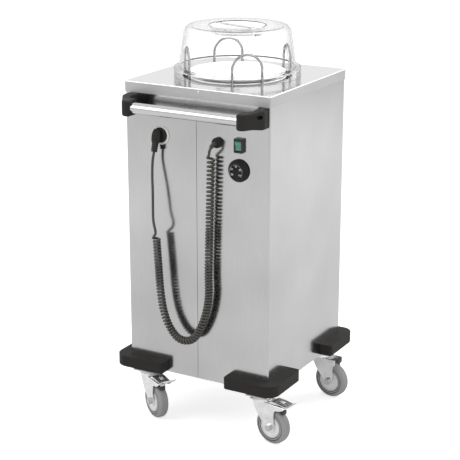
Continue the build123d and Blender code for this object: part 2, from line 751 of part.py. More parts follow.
def fork(name):
    """Pressed fork: two cheeks under a crown, with the lower ball race on top."""
    half = fork_gap / 2
    body = side_plate(fork_outline(name in braked), -half - fork_sheet, half + fork_sheet)
    crown = body.faces().sort_by(Axis.Z)[-1]
    body = fillet(crown.edges().filter_by(Axis.X), 3)
    body -= block(-race_radius - 1, 120, -half, half, 0, fork_top - 3)
    body -= block(race_radius + 2, 120, -half, half, 0, fork_top + 1)
    body += rod(0, 0, fork_top - 1, fork_top + 4, race_radius)
    body -= rod(0, 0, fork_top - 10, fork_top + 10, stem_radius + running_gap)
    across = Rot(90, 0, 0)
    body -= Pos(trail, 0, wheel_radius) * across * Cylinder(axle_radius + 0.02, 60)
    if name in braked:
        body -= Pos(pedal_pin[0], 0, pedal_pin[1]) * across * Cylinder(pedal_pin_radius + running_gap, 60)
    return castor_place(name) * body


def castor_stems():
    """Upper ball race and the bolt and nut that hold each castor to its block."""
    parts = []
    for name in castor_sides:
        race = rod(0, 0, fork_top + 4 + fit_gap, castor_height, race_radius + 2)
        race -= rod(0, 0, fork_top, castor_height + 1, stem_radius + 0.02)
        bolt = rod(0, 0, fork_top - 4, pan_top + 14, stem_radius)
        bolt += Pos(0, 0, fork_top - 9) * extrude(RegularPolygon(10, 6), 5.7)
        nut = Pos(0, 0, pan_top) * extrude(RegularPolygon(10.5, 6), 10)
        nut -= rod(0, 0, pan_top - 1, pan_top + 12, stem_radius + 0.02)
        parts += [castor_place(name) * piece for piece in (race, bolt, nut)]
    return parts


def axle(name):
    half = fork_gap / 2 + fork_sheet
    body = Cylinder(axle_radius, 2 * half + 12)
    body += Pos(0, 0, half + 3.5) * extrude(RegularPolygon(9.5, 6), 3.5, both=True)
    body += Pos(0, 0, -half - 3) * extrude(RegularPolygon(9.5, 6), 3, both=True)
    return castor_place(name) * Pos(trail, 0, wheel_radius) * Rot(90, 0, 0) * body


def hub(name):
    """Wheel centre: rim, recessed disc and bearing boss in one moulding."""
    rim = wheel_width / 2
    boss = hub_width / 2
    half_side = [(hub_radius, rim), (hub_radius - 1.2, rim), (hub_radius - 1.6, rim - 4), (hub_radius - 3.2, rim - 4),
                 (hub_radius - 4, rim - 0.5), (hub_radius - 6, rim), (16, rim - 2), (13.5, rim - 0.5), (12, boss),
                 (axle_radius + running_gap, boss)]
    points = [(radius, -width) for radius, width in reversed(half_side)] + half_side
    body = revolve(make_face(Plane.XZ * Polyline(*points, close=True)), Axis.Z)
    return castor_place(name) * Pos(trail, 0, wheel_radius) * Rot(90, 0, 0) * body


def tyre(name):
    """Rubber tyre with a stepped shoulder and a rounded tread."""
    half = wheel_width / 2
    inner = hub_radius + 0.02
    points = [(inner, -half), (wheel_radius - 9, -half), (wheel_radius - 7, -half + 2.2),
              (wheel_radius - 3.5, -half + 3.2), (wheel_radius - 0.9, -half + 7), (wheel_radius - 1.7, -half + 8),
              (wheel_radius, -half + 9), (wheel_radius, half - 9), (wheel_radius - 1.7, half - 8),
              (wheel_radius - 0.9, half - 7), (wheel_radius - 3.5, half - 3.2),
              (wheel_radius - 7, half - 2.2), (wheel_radius - 9, half), (inner, half)]
    body = revolve(make_face(Plane.XZ * Polyline(*points, close=True)), Axis.Z)
    return castor_place(name) * Pos(trail, 0, wheel_radius) * Rot(90, 0, 0) * body


def brake_pedal(name):
    """Foot lever: tread plate with an upturned toe, two lugs on stub pins and the web for the pad."""
    t = pedal_sheet
    rises = ((pedal_pin_reach - 8, 6.2), (62, 5.4), (88, 2), (98, 4), (pedal_reach, 15))
    treads = [(x, fork_top + rise) for x, rise in rises]
    under = [(x + 0.6, z - t) for x, z in reversed(treads)]
    half = pedal_width / 2
    inner = fork_gap / 2 - fit_gap
    body = side_plate(Polyline(*treads, *under, close=True), -half, half)
    for side in (-1, 1):
        body -= block(0, brake_ear + 2, *sorted((side * inner, side * (half + 1))), 0, fork_top + 20)
    px, pz = pedal_pin
    tread = fork_top + 4
    lug = Polyline((px - 6, pz), (px - 6, tread), (px + 8, tread - 1), (px + 6, pz), (px, pz - 6), close=True)
    for y in (-inner, inner - t):
        body += side_plate(lug, y, y + t)
    web = Polyline((px + 4, pz), (px + 4, tread), (px + pad_reach + 14, tread - 2.5), (px + pad_reach + 14, pz - 9),
                   (px + pad_reach, pz - 9), close=True)
    body += side_plate(web, -6, 6)
    body += side_plate(lug, -inner, inner) & block(px + 4, px + 6, -inner, inner, pz + 1, pz + 5)
    pin = Rot(90, 0, 0) * Cylinder(pedal_pin_radius, fork_gap + 2 * fork_sheet - 1)
    body += Pos(px, 0, pz) * pin & (block(0, 200, -30, -inner + 1, 0, 200) + block(0, 200, inner - 1, 30, 0, 200))
    return castor_place(name) * body


def brake_pad(name):
    """Rubber shoe under the lever's web, its face square to the tyre."""
    px, pz = pedal_pin
    near = px + pad_reach
    body = block(near, near + 17, -8, 8, pz - 19, pz - 9)
    body = fillet(body.edges().filter_by(Axis.Z), 2)
    lean = math.degrees(math.atan2(near + 6 - trail, pz - 17 - wheel_radius))
    below = Pos(0, 0, wheel_radius + pad_gap - 40) * Box(90, 40, 80)
    return castor_place(name) * (body - Pos(trail, 0, wheel_radius) * Rot(0, lean, 0) * below)


# ---- plug and cord; out is the distance in front of the panel ----

coil_points = [(55.8, 22, 772), (53, 22, 665), (49.5, 22, 555), (46.8, 22, 450), (49, 23, 395), (40, 25, 345),
               (23, 27, 300), (0, 28.5, 266), (-40, 31.5, 262), (-69, 33.5, 296), (-85, 35.5, 340),
               (-93, 36, 395), (-98, 36, 470), (-103.6, 34, 537)]
gland_lead_points = [(63, 12, 807), (63, 22, 807), (61.5, 33, 800), (57.5, 36.5, 786), (56, 30, 773)]
plug_lead_points = [(-114.7, 22, 766), (-119, 23.5, 744), (-116.5, 30, 705), (-111.5, 36, 664),
                    (-109, 40.5, 622), (-107, 44, 586), (-98, 46, 558), (-99.5, 41, 538)]


def cord_tube(label, points, radius, end_dip=0.0):
    """Tube along straight runs joined by arcs as large as the runs allow."""
    path_points = [Vector(x, front - out, z) for x, out, z in points]
    if end_dip:
        last = (path_points[-1] - path_points[-2]).normalized()
        path_points[-1] = path_points[-1] + last * end_dip
    radii = []
    for a, b, c in zip(path_points, path_points[1:], path_points[2:]):
        turn = (b - a).get_angle(c - b)
        run = min((b - a).length, (c - b).length)
        radii.append(0.45 * run / math.tan(math.radians(turn / 2)))
    path = FilletPolyline(*path_points, radius=radii)
    start = Plane(origin=path @ 0, z_dir=path % 0)
    tube = sweep(start * Circle(radius), path=path)
    worked = math.pi * radius**2 * path.length
    print(label, "radii", [round(r) for r in radii], "length", round(path.length, 1),
          "volume ratio", round(tube.volume / worked, 4))
    return tube


def plug():
    """Right-angle plug: flat head in the socket, a grip that leans out to the cord's sleeve, two pins."""
    body = front_rod(socket_x, socket_z, -socket_bore_depth + 1, plug_reach, plug_head_radius)
    body = fillet(body.edges().sort_by(Axis.Y)[0], plug_reach / 2)
    for x in (-9.5, 9.5):
        body += front_rod(socket_x + x, socket_z, -socket_bore_depth - 17, -socket_bore_depth + 2, 2.4)
    end_x, end_out, end_z = plug_lead_points[0]
    end = Vector(end_x, front - end_out, end_z)
    across, out, up = plug_grip_start
    start = Vector(socket_x + across, front - out, socket_z + up)
    down = (end - start).normalized()
    for shares in (plug_grip, plug_sleeve):
        sections = []
        for share, wide, deep in shares:
            plane = Plane(origin=start + (end - start) * share, x_dir=(-down.Z, 0, down.X), z_dir=down)
            sections.append(plane * Ellipse(wide, deep))
        body += loft(sections)
    return body


# ---- nodes ----

def place(shape):
    """Moves a piece, or a list of pieces as one group, to the part's frame."""
    moved = Pos(shift_x, shift_y, 0)
    if isinstance(shape, list):
        return Compound(children=[moved * piece for piece in shape])
    return moved * shape


def nodes():
    yield "deck_cover", deck_cover()
    yield "deck_rivets", deck_rivets()
    yield "casing_left", casing_half(-1)
    yield "casing_right", casing_half(1)
    yield "base_pan", base_pan()
    yield "castor_mounts", castor_mounts()
    yield "well_tube", well_tube()
    yield "insulation_jacket", insulation_jacket()
    yield "guide_ring_top", guide_ring_top()
    yield "guide_ring_base", guide_ring(base_ring_height, plate_radius - base_ring_lap)
    for name in guide_names:
        yield "wire_guide_" + name, wire_guide(name)
    yield "heating_element", heating_element()
    yield "terminal_box", terminal_box()
    yield "platform", platform()
    yield "plates", plates()
    yield "lift_springs", lift_springs()
    yield "lid", lid()
    yield "push_bar", push_bar()
    yield "handle_bracket_left", handle_bracket(-1)
    yield "handle_bracket_right", handle_bracket(1)
    yield "panel_screws", [spot * screw_body() for spot in screw_places()]
    yield "parking_socket", parking_socket()
    yield "cord_gland", cord_gland()
    yield "switch_frame", switch_frame()
    yield "switch_rocker", rocker()
    yield "thermostat_body", thermostat_body()
    yield "thermostat_spindle", thermostat_spindle()
    yield "thermostat_knob", thermostat_knob()
    yield "castor_stems", castor_stems()
    for name in castor_sides:
        yield "bumper_" + name, bumper(name)
        yield "castor_fork_" + name, fork(name)
        yield "castor_axle_" + name, axle(name)
        yield "castor_hub_" + name, hub(name)
        yield "castor_tyre_" + name, tyre(name)
    for name in braked:
        yield "brake_pedal_" + name, brake_pedal(name)
        yield "brake_pad_" + name, brake_pad(name)
    yield "gland_lead", cord_tube("gland lead", gland_lead_points, cord_radius, 1.0)
    yield "cord_coil", cord_tube("coil", coil_points, coil_radius)
    yield "plug_lead", cord_tube("plug lead", plug_lead_points, cord_radius, 1.0)
    yield "plug", plug()


os.makedirs("parts", exist_ok=True)
for name, shape in nodes():
    export_step(place(shape), f"parts/{name}.step")
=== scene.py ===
import bpy
import bmesh
import json
import math
from mathutils import Matrix, Vector


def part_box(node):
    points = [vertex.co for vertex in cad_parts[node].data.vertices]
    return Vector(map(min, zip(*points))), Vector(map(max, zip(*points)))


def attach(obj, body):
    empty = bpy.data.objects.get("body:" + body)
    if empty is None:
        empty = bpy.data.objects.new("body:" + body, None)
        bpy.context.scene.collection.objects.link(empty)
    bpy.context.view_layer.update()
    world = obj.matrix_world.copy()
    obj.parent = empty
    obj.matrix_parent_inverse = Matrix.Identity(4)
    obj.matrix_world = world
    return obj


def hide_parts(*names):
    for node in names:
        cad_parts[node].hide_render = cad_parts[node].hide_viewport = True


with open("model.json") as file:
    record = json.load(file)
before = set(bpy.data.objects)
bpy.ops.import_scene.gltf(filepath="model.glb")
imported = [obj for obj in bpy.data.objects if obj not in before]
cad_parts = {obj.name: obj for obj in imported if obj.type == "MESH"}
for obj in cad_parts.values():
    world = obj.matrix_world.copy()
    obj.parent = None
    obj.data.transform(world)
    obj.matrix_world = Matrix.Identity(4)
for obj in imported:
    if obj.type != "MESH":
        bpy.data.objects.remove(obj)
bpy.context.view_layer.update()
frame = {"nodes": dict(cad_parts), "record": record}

nodes = frame["nodes"]
coverLow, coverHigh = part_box("deck_cover")
home = Vector(((coverLow.x + coverHigh.x) / 2, (coverLow.y + coverHigh.y) / 2, 0))   # cabinet's centre line
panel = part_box("casing_right")[0].y        # front face of the casing
deckTop = coverHigh.z


def spot(x, out, z):                         # millimetres: from the centre line, out from the casing, up
    return Vector((home.x + x / 1000, panel - out / 1000, z / 1000))


def added(name, data):
    thing = bpy.data.objects.new(name, data)
    bpy.context.scene.collection.objects.link(thing)
    return thing


def plainMesh(thing):
    bpy.context.view_layer.update()
    return bpy.data.meshes.new_from_object(thing.evaluated_get(bpy.context.evaluated_depsgraph_get()))


cameraSet = {"azimuth": 29.651, "elevation": 17.121, "distance": 3.8751, "lens": 110.48, "sensor": 36,
             "sees": 50, "aim": (-0.0227, 0.0, 0.5055)}


def placeCamera(s):
    around, up = math.radians(s["azimuth"]), math.radians(s["elevation"])
    back = Vector((math.sin(around) * math.cos(up), -math.cos(around) * math.cos(up), math.sin(up)))
    aim = home + Vector(s["aim"])
    data = bpy.data.cameras.new("camera")
    data.lens = s["lens"]
    data.sensor_width = s["sensor"]
    data.clip_end = s["sees"]
    camera = added("camera", data)
    camera.location = aim + back * s["distance"]
    camera.rotation_euler = back.to_track_quat("Z", "Y").to_euler()
    bpy.context.scene.camera = camera


placeCamera(cameraSet)
print("camera placed")


def newFinish(name):
    finish = bpy.data.materials.new(name)
    finish.use_nodes = True
    tree = finish.node_tree
    tree.nodes.clear()
    out = tree.nodes.new("ShaderNodeOutputMaterial")
    shader = tree.nodes.new("ShaderNodeBsdfPrincipled")
    tree.links.new(shader.outputs["BSDF"], out.inputs["Surface"])
    return finish, tree, shader


finishSet = {"noiseRoughness": 0.55, "low": 0.3, "high": 0.7, "metalDepth": 0.0004, "mouldedDepth": 0.0003,
             "mouldedClouds": 14.0, "wear": 60.0, "edgeBlend": 0.5, "edgeFrom": 0.95, "throughLid": 0.96,
             "brushedLow": 0.25, "brushedHigh": 0.75}


def placedNoise(tree, scale, size, detail=3.0):
    coord = tree.nodes.new("ShaderNodeTexCoord")
    mapping = tree.nodes.new("ShaderNodeMapping")
    mapping.inputs["Scale"].default_value = scale
    grain = tree.nodes.new("ShaderNodeTexNoise")
    grain.inputs["Scale"].default_value = size
    grain.inputs["Detail"].default_value = detail
    grain.inputs["Roughness"].default_value = finishSet["noiseRoughness"]
    tree.links.new(coord.outputs["Object"], mapping.inputs["Vector"])
    tree.links.new(mapping.outputs["Vector"], grain.inputs["Vector"])
    return grain


def ramp(tree, source, stops):
    band = tree.nodes.new("ShaderNodeValToRGB")
    while len(band.color_ramp.elements) < len(stops):
        band.color_ramp.elements.new(0.5)
    for element, (at, colour) in zip(band.color_ramp.elements, stops):
        element.position = at
        element.color = (*colour, 1)
    tree.links.new(source, band.inputs["Fac"])
    return band


def spread(tree, source, low, high):
    span = tree.nodes.new("ShaderNodeMapRange")
    span.inputs["To Min"].default_value = low
    span.inputs["To Max"].default_value = high
    span.inputs["From Min"].default_value = finishSet["low"]
    span.inputs["From Max"].default_value = finishSet["high"]
    tree.links.new(source, span.inputs["Value"])
    return span


def addBump(tree, shader, source, strength, distance):
    bump = tree.nodes.new("ShaderNodeBump")
    bump.inputs["Strength"].default_value = strength
    bump.inputs["Distance"].default_value = distance
    tree.links.new(source, bump.inputs["Height"])
    tree.links.new(bump.outputs["Normal"], shader.inputs["Normal"])


def grey(value, warm=0.0):
    return (value + warm, value, value - warm)


def cloudTone(tree, clouds, dark, light):
    return ramp(tree, clouds.outputs["Fac"], [(finishSet["low"], dark), (finishSet["high"], light)]).outputs["Color"]


def metalFinish(name, light, dark, roughness, grain, bump=0.02, cloud=2.0, streak=0.0, deckLine=None):
    finish, tree, shader = newFinish(name)
    shader.inputs["Metallic"].default_value = 1
    lines = placedNoise(tree, grain, 1.0)
    clouds = placedNoise(tree, (1, 1, 1), cloud, 2.0)
    colour = cloudTone(tree, clouds, dark, light)
    if streak:
        brushed = ramp(tree, lines.outputs["Fac"], [(finishSet["brushedLow"], grey(1 - streak)),
                                                     (finishSet["brushedHigh"], grey(1.0))])
        both = tree.nodes.new("ShaderNodeMix")
        both.data_type = "RGBA"
        both.blend_type = "MULTIPLY"
        both.inputs["Factor"].default_value = 1
        tree.links.new(colour, both.inputs["A"])
        tree.links.new(brushed.outputs["Color"], both.inputs["B"])
        colour = both.outputs["Result"]
    rough = spread(tree, lines.outputs["Fac"], *roughness).outputs["Result"]
    if deckLine:                             # the flat top of the cover is smoother than its skirt, and its colour is painted paler: a painted reflection of the bright room
        coord = tree.nodes.new("ShaderNodeTexCoord")
        axes = tree.nodes.new("ShaderNodeSeparateXYZ")
        under = tree.nodes.new("ShaderNodeMath")
        under.operation = "LESS_THAN"
        under.inputs[1].default_value = deckLine["height"]
        more = tree.nodes.new("ShaderNodeMath")
        more.operation = "MULTIPLY_ADD"
        more.inputs[1].default_value = deckLine["rougherBelow"]
        tree.links.new(coord.outputs["Object"], axes.inputs["Vector"])
        tree.links.new(axes.outputs["Z"], under.inputs[0])
        tree.links.new(under.outputs[0], more.inputs[0])
        tree.links.new(rough, more.inputs[2])
        rough = more.outputs[0]
        # painted light: above the deck line the cover's own tone is swapped for a flat paler grey
        lift = tree.nodes.new("ShaderNodeMix")
        lift.data_type = "RGBA"
        lift.inputs["A"].default_value = grey(deckLine["paintedLightAbove"]) + (1,)
        tree.links.new(under.outputs[0], lift.inputs["Factor"])
        tree.links.new(colour, lift.inputs["B"])
        colour = lift.outputs["Result"]
    tree.links.new(colour, shader.inputs["Base Color"])
    tree.links.new(rough, shader.inputs["Roughness"])
    addBump(tree, shader, lines.outputs["Fac"], bump, finishSet["metalDepth"])
    return finish


def mouldedFinish(name, light, dark, roughness, grainSize, bump, coat=0.0, shine=0.5):
    finish, tree, shader = newFinish(name)
    grain = placedNoise(tree, (1, 1, 1), grainSize)
    clouds = placedNoise(tree, (1, 1, 1), finishSet["mouldedClouds"])
    tree.links.new(cloudTone(tree, clouds, dark, light), shader.inputs["Base Color"])
    width = spread(tree, clouds.outputs["Fac"], *roughness)
    tree.links.new(width.outputs["Result"], shader.inputs["Roughness"])
    shader.inputs["Coat Weight"].default_value = coat
    shader.inputs["Specular IOR Level"].default_value = shine
    addBump(tree, shader, grain.outputs["Fac"], bump, finishSet["mouldedDepth"])
    return finish


def clearFinish(name, colour, edge, roughness, ior):
    finish, tree, shader = newFinish(name)
    out = next(node for node in tree.nodes if node.type == "OUTPUT_MATERIAL")
    wear = placedNoise(tree, (1, 1, 1), finishSet["wear"], 4.0)
    width = spread(tree, wear.outputs["Fac"], *roughness)
    tree.links.new(width.outputs["Result"], shader.inputs["Roughness"])
    side = tree.nodes.new("ShaderNodeLayerWeight")           # walls seen on edge look greyer
    side.inputs["Blend"].default_value = finishSet["edgeBlend"]
    tint = ramp(tree, side.outputs["Facing"], [(finishSet["low"], colour), (finishSet["edgeFrom"], edge)])
    tree.links.new(tint.outputs["Color"], shader.inputs["Base Color"])
    shader.inputs["Transmission Weight"].default_value = 1
    shader.inputs["IOR"].default_value = ior
    path = tree.nodes.new("ShaderNodeLightPath")
    through = tree.nodes.new("ShaderNodeBsdfTransparent")     # lamps reach the plates below the lid
    through.inputs["Color"].default_value = grey(finishSet["throughLid"]) + (1,)
    mix = tree.nodes.new("ShaderNodeMixShader")
    tree.links.new(path.outputs["Is Shadow Ray"], mix.inputs["Fac"])
    tree.links.new(shader.outputs["BSDF"], mix.inputs[1])
    tree.links.new(through.outputs["BSDF"], mix.inputs[2])
    tree.links.new(mix.outputs[0], out.inputs["Surface"])
    return finish


finishes = {
    "cover_steel": metalFinish("coverSteel", grey(0.54), grey(0.48), (0.10, 0.15), grain=(30, 800, 800), bump=0.002,
                               cloud=2.6, streak=0.1,
                               deckLine={"height": deckTop - 0.003, "rougherBelow": 0.34, "paintedLightAbove": 0.7}),
    "casing_steel": metalFinish("casingSteel", grey(0.54), grey(0.45), (0.14, 0.2), grain=(800, 800, 30), bump=0.003,
                                cloud=3.2, streak=0.09),
    "galvanised_steel": metalFinish("galvanisedSteel", grey(0.5), grey(0.38), (0.3, 0.5), grain=(40, 40, 40),
                                    bump=0.05, cloud=30),
    "mineral_wool": mouldedFinish("mineralWool", (0.5, 0.45, 0.3), (0.35, 0.3, 0.2), (0.9, 1.0), grainSize=300,
                                  bump=0.8),
    "guide_wire": metalFinish("guideWire", grey(0.34), grey(0.28), (0.1, 0.16), grain=(60, 60, 60), bump=0.01),
    "element_sheath": metalFinish("elementSheath", grey(0.2), grey(0.12), (0.4, 0.6), grain=(90, 90, 90), bump=0.05),
    "terminal_plastic": mouldedFinish("terminalPlastic", grey(0.12), grey(0.09), (0.5, 0.6), grainSize=500, bump=0.1),
    "spring_steel": metalFinish("springSteel", grey(0.45), grey(0.35), (0.25, 0.4), grain=(2, 2, 500), bump=0.3),
    "glazed_china": mouldedFinish("glazedChina", grey(0.93, 0.002), grey(0.91, 0.002), (0.08, 0.14), grainSize=40,
                                  bump=0.02, coat=0.4),
    "clear_plastic": clearFinish("clearPlastic", (0.985, 0.985, 0.985), (0.46, 0.47, 0.47), (0.01, 0.03), 1.2),
    "handle_tube": metalFinish("handleTube", grey(0.56), grey(0.50), (0.16, 0.24), grain=(300, 300, 300), bump=0.01),
    "black_moulding": mouldedFinish("blackMoulding", grey(0.018, 0.001), grey(0.014, 0.001), (0.5, 0.6),
                                    grainSize=900, bump=0.12, shine=0.22),
    "screw_steel": metalFinish("screwSteel", grey(0.75), grey(0.65), (0.2, 0.3), grain=(200, 200, 200), bump=0.03),
    "white_moulding": mouldedFinish("whiteMoulding", grey(0.8, 0.01), grey(0.76, 0.01), (0.25, 0.35), grainSize=400,
                                    bump=0.03, coat=0.2),
    "switch_black": mouldedFinish("switchBlack", grey(0.02), grey(0.016), (0.35, 0.45), grainSize=900, bump=0.05,
                                  shine=0.4),
    "green_lens": mouldedFinish("greenLens", (0.06, 0.27, 0.19), (0.04, 0.2, 0.14), (0.12, 0.18), grainSize=200,
                                bump=0.02, coat=0.4),
    "cord_sheath": mouldedFinish("cordSheath", (0.058, 0.054, 0.048), (0.046, 0.043, 0.038), (0.24, 0.32),
                                 grainSize=700, bump=0.05),
    "bumper_rubber": mouldedFinish("bumperRubber", grey(0.02, 0.0012), grey(0.016, 0.0012), (0.6, 0.7), grainSize=800,
                                   bump=0.15, shine=0.2),
    "castor_zinc": metalFinish("castorZinc", grey(0.86), grey(0.68), (0.16, 0.28), grain=(80, 80, 80), bump=0.02,
                               cloud=30),
    "wheel_centre": mouldedFinish("wheelCentre", grey(0.93), grey(0.89), (0.4, 0.5), grainSize=500, bump=0.08),
    "tyre_rubber": mouldedFinish("tyreRubber", grey(0.36), grey(0.32), (0.55, 0.7), grainSize=500, bump=0.1),
    "pad_rubber": mouldedFinish("padRubber", grey(0.03), grey(0.025), (0.5, 0.6), grainSize=500, bump=0.1),
}
dialPaint = mouldedFinish("dialPaint", grey(0.9), grey(0.85), (0.5, 0.6), grainSize=500, bump=0.05)
grooveShade = mouldedFinish("grooveShade", grey(0.06), grey(0.05), (0.6, 0.7), grainSize=500, bump=0.1)
# dark metal for the pedal tread: painted shade, as if the pedal top lay in the bumper's shadow
paintedShadeTreadSteel = metalFinish("paintedShadeTreadSteel", grey(0.16), grey(0.1), (0.3, 0.4), grain=(200, 200, 200), bump=0.02)
boltZinc = metalFinish("boltZinc", grey(0.6), grey(0.45), (0.2, 0.3), grain=(150, 150, 150), bump=0.02, cloud=60)
ownFinish = {
    "thermostat_knob": mouldedFinish("knobBlack", grey(0.012), grey(0.009), (0.5, 0.6), grainSize=900, bump=0.05,
                                     shine=0.2),
    "castor_axle": boltZinc,
    "castor_stems": boltZinc,
    # rivet steel paler than the screw steel: partly its own steel, partly a painted highlight
    "deck_rivets": metalFinish("rivetSteelPaintedGlint", grey(0.9), grey(0.8), (0.15, 0.25), grain=(150, 150, 150), bump=0.02,
                               cloud=60),
}
slotOf = {part["node"]: part["material_slot"] for part in frame["record"]["subparts"]}


def finishNodes():                           # a node's own finish goes before the one of its slot
    for name, piece in nodes.items():
        own = [finish for start, finish in ownFinish.items() if name.startswith(start)]
        piece.data.materials.clear()
        piece.data.materials.append(own[0] if own else finishes[slotOf[name]])


finishNodes()
print("finishes on", len(nodes), "pieces")


cordSet = {"wireRadius": 0.0035, "coilRadius": 0.00775, "pitch": 0.0084, "loosePitch": 0.0106, "looseRun": 0.16,
           "easing": 0.04, "waves": ((0.0006, 31, 0), (0.0004, 73, 1)), "stepsPerTurn": 16, "sides": 10,
           "curveSteps": 24, "fineStep": 0.0005, "leadStep": 0.002, "plugLeadStep": 0.003, "joinReach": 1.3,
           "joinTrims": 12}
glandPoints = [(63, 12, 807), (63, 22, 807), (61.5, 33, 800), (57.5, 36.5, 786), (56, 30, 773)]
coilPoints = [(55.8, 22, 772), (53, 22, 665), (49.5, 22, 555), (46.8, 22, 450), (49, 23, 395), (40, 25, 345),
              (23, 27, 300), (0, 28.5, 266), (-40, 31.5, 262), (-69, 33.5, 296), (-85, 35.5, 340),
              (-93, 36, 395), (-98, 36, 470), (-103.6, 34, 537)]
plugPoints = [(-99.5, 41, 538), (-98, 46, 558), (-107, 44, 586), (-109, 40.5, 622), (-111.5, 36, 664),
              (-116.5, 30, 705), (-119, 23.5, 744), (-114.7, 22, 766)]


def routeLine(name, points):                  # a smooth curve near the points, as a list of places
    data = bpy.data.curves.new(name, "CURVE")
    data.dimensions = "3D"
    data.resolution_u = cordSet["curveSteps"]
    spline = data.splines.new("NURBS")
    spline.points.add(len(points) - 1)
    for point, place in zip(spline.points, points):
        point.co = (*spot(*place), 1)
    spline.order_u = 3
    spline.use_endpoint_u = True
    curve = added(name, data)
    mesh = plainMesh(curve)
    line = [vertex.co.copy() for vertex in mesh.vertices]
    bpy.data.objects.remove(curve)
    bpy.data.meshes.remove(mesh)
    return line


def lineLength(line):
    return sum((b - a).length for a, b in zip(line, line[1:]))


def evenLine(line, step):                    # the same line with its points evenly apart
    count = max(2, round(lineLength(line) / step))
    gap = lineLength(line) / count
    even, gone, at = [line[0].copy()], 0.0, gap
    for a, b in zip(line, line[1:]):
        run = (b - a).length
        while run > 0 and at <= gone + run + 1e-9 and len(even) < count:
            even.append(a.lerp(b, (at - gone) / run))
            at += gap
        gone += run
    even.append(line[-1].copy())
    return even


def frameAlong(line, first):                 # axes that follow the line without twisting
    frames, side = [], first
    for i in range(len(line)):
        ahead = (line[min(i + 1, len(line) - 1)] - line[max(i - 1, 0)]).normalized()
        side = (side - ahead * side.dot(ahead)).normalized()
        frames.append((ahead, side, ahead.cross(side)))
    return frames


def pitchAt(along):
    s = cordSet                              # the turns below the gland are pulled apart by the coil's weight
    share = min(1, max(0, (along - s["looseRun"]) / s["easing"]))
    share = share * share * (3 - 2 * share)
    wave = sum(size * math.sin(along * rate + start) for size, rate, start in s["waves"])
    return s["loosePitch"] + (s["pitch"] - s["loosePitch"]) * share + wave


def wind(line, startSide):                   # turns of wire round the coil's middle line
    s = cordSet
    line = evenLine(line, s["fineStep"])
    frames = frameAlong(line, startSide)
    coil, angle, step = [], 0.0, lineLength(line) / (len(line) - 1)
    gap = 2 * math.pi / s["stepsPerTurn"]
    for i, (point, (ahead, side, up)) in enumerate(zip(line, frames)):
        coil.append((angle, point + (side * math.cos(angle) + up * math.sin(angle)) * s["coilRadius"]))
        angle += 2 * math.pi * step / pitchAt(i * step)
    turns, wound, target = coil[-1][0] / (2 * math.pi), [], 0.0
    for (a0, p0), (a1, p1) in zip(coil, coil[1:]):
        while target <= a1:
            wound.append(p0.lerp(p1, (target - a0) / (a1 - a0)))
            target += gap
    wound.append(coil[-1][1])
    print("coil turns", round(turns, 1), "length", round(lineLength(wound), 3))
    return wound


def smoothLine(line, passes):
    for _ in range(passes):
        line = [line[0]] + [(a + b * 2 + c) / 4 for a, b, c in zip(line, line[1:], line[2:])] + [line[-1]]
    return line


def tubeAlong(name, line, radius, sides):
    mesh = bpy.data.meshes.new(name)
    frames = frameAlong(line, Vector((0.3, 0.2, 0.9)))
    verts, faces = [], []
    for i, (point, (ahead, side, up)) in enumerate(zip(line, frames)):
        thick = radius(i / (len(line) - 1)) if callable(radius) else radius
        for k in range(sides):
            turn = 2 * math.pi * k / sides
            verts.append(point + (side * math.cos(turn) + up * math.sin(turn)) * thick)
    for i in range(len(line) - 1):
        for k in range(sides):
            a, b = i * sides + k, i * sides + (k + 1) % sides
            faces.append((a, b, b + sides, a + sides))
    faces.append(tuple(range(sides))[::-1])
    faces.append(tuple((len(line) - 1) * sides + k for k in range(sides)))
    mesh.from_pydata(verts, [], faces)
    mesh.polygons.foreach_set("use_smooth", [len(f) == 4 for f in faces])
    return added(name, mesh)


def bridge(before, after):                   # smooth stretch from the end of one line to the start of the next
    a, b = before[-1], after[0]
    reach = (b - a).length * cordSet["joinReach"]
    aheadA = (before[-1] - before[-2]).normalized() * reach
    aheadB = (after[1] - after[0]).normalized() * reach
    count, points = max(4, round(reach / cordSet["leadStep"])), []
    for i in range(1, count):
        t = i / count
        points.append(a * (2 * t ** 3 - 3 * t ** 2 + 1) + aheadA * (t ** 3 - 2 * t ** 2 + t)
                      + b * (3 * t ** 2 - 2 * t ** 3) + aheadB * (t ** 3 - t ** 2))
    return points


def tightest(line):                          # smallest radius of bend
    smallest = 1.0
    for a, b, c in zip(line, line[2:], line[4:]):
        area = (b - a).cross(c - a).length
        if area > 1e-12:
            smallest = min(smallest, (b - a).length * (c - b).length * (c - a).length / (2 * area))
    return smallest


def joined(before, after):
    best = None                              # the cut that leaves the gentlest bend in the join
    for trimA in range(cordSet["joinTrims"]):
        for trimB in range(cordSet["joinTrims"]):
            first, last = before[:len(before) - trimA], after[trimB:]
            link = bridge(first, last)
            bend = tightest(first[-5:] + link + last[:5])
            if best is None or bend > best[0]:
                best = (bend, first + link + last)
    print("bend at the join", round(best[0] * 1000, 1), "mm")
    return best[1]


def makeCord():
    s = cordSet
    glandLine = evenLine(routeLine("glandRoute", glandPoints), s["leadStep"])
    coilLine = routeLine("coilRoute", coilPoints)
    plugLine = evenLine(routeLine("plugRoute", plugPoints), s["plugLeadStep"])
    wound = wind(coilLine, glandLine[-1] - coilLine[0])
    line = joined(joined(glandLine, wound), plugLine)
    cord = tubeAlong("mainsCord", line, s["wireRadius"], s["sides"])
    cord.data.materials.append(finishes["cord_sheath"])
    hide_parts("gland_lead", "cord_coil", "plug_lead")
    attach(cord, "root")
    length = lineLength(line)
    print("cord length", round(length, 3), "tightest bend", round(tightest(line) * 1000, 1), "mm")
    return cord, line, length


cord, cordLine, cordLength = makeCord()
print("cord made")


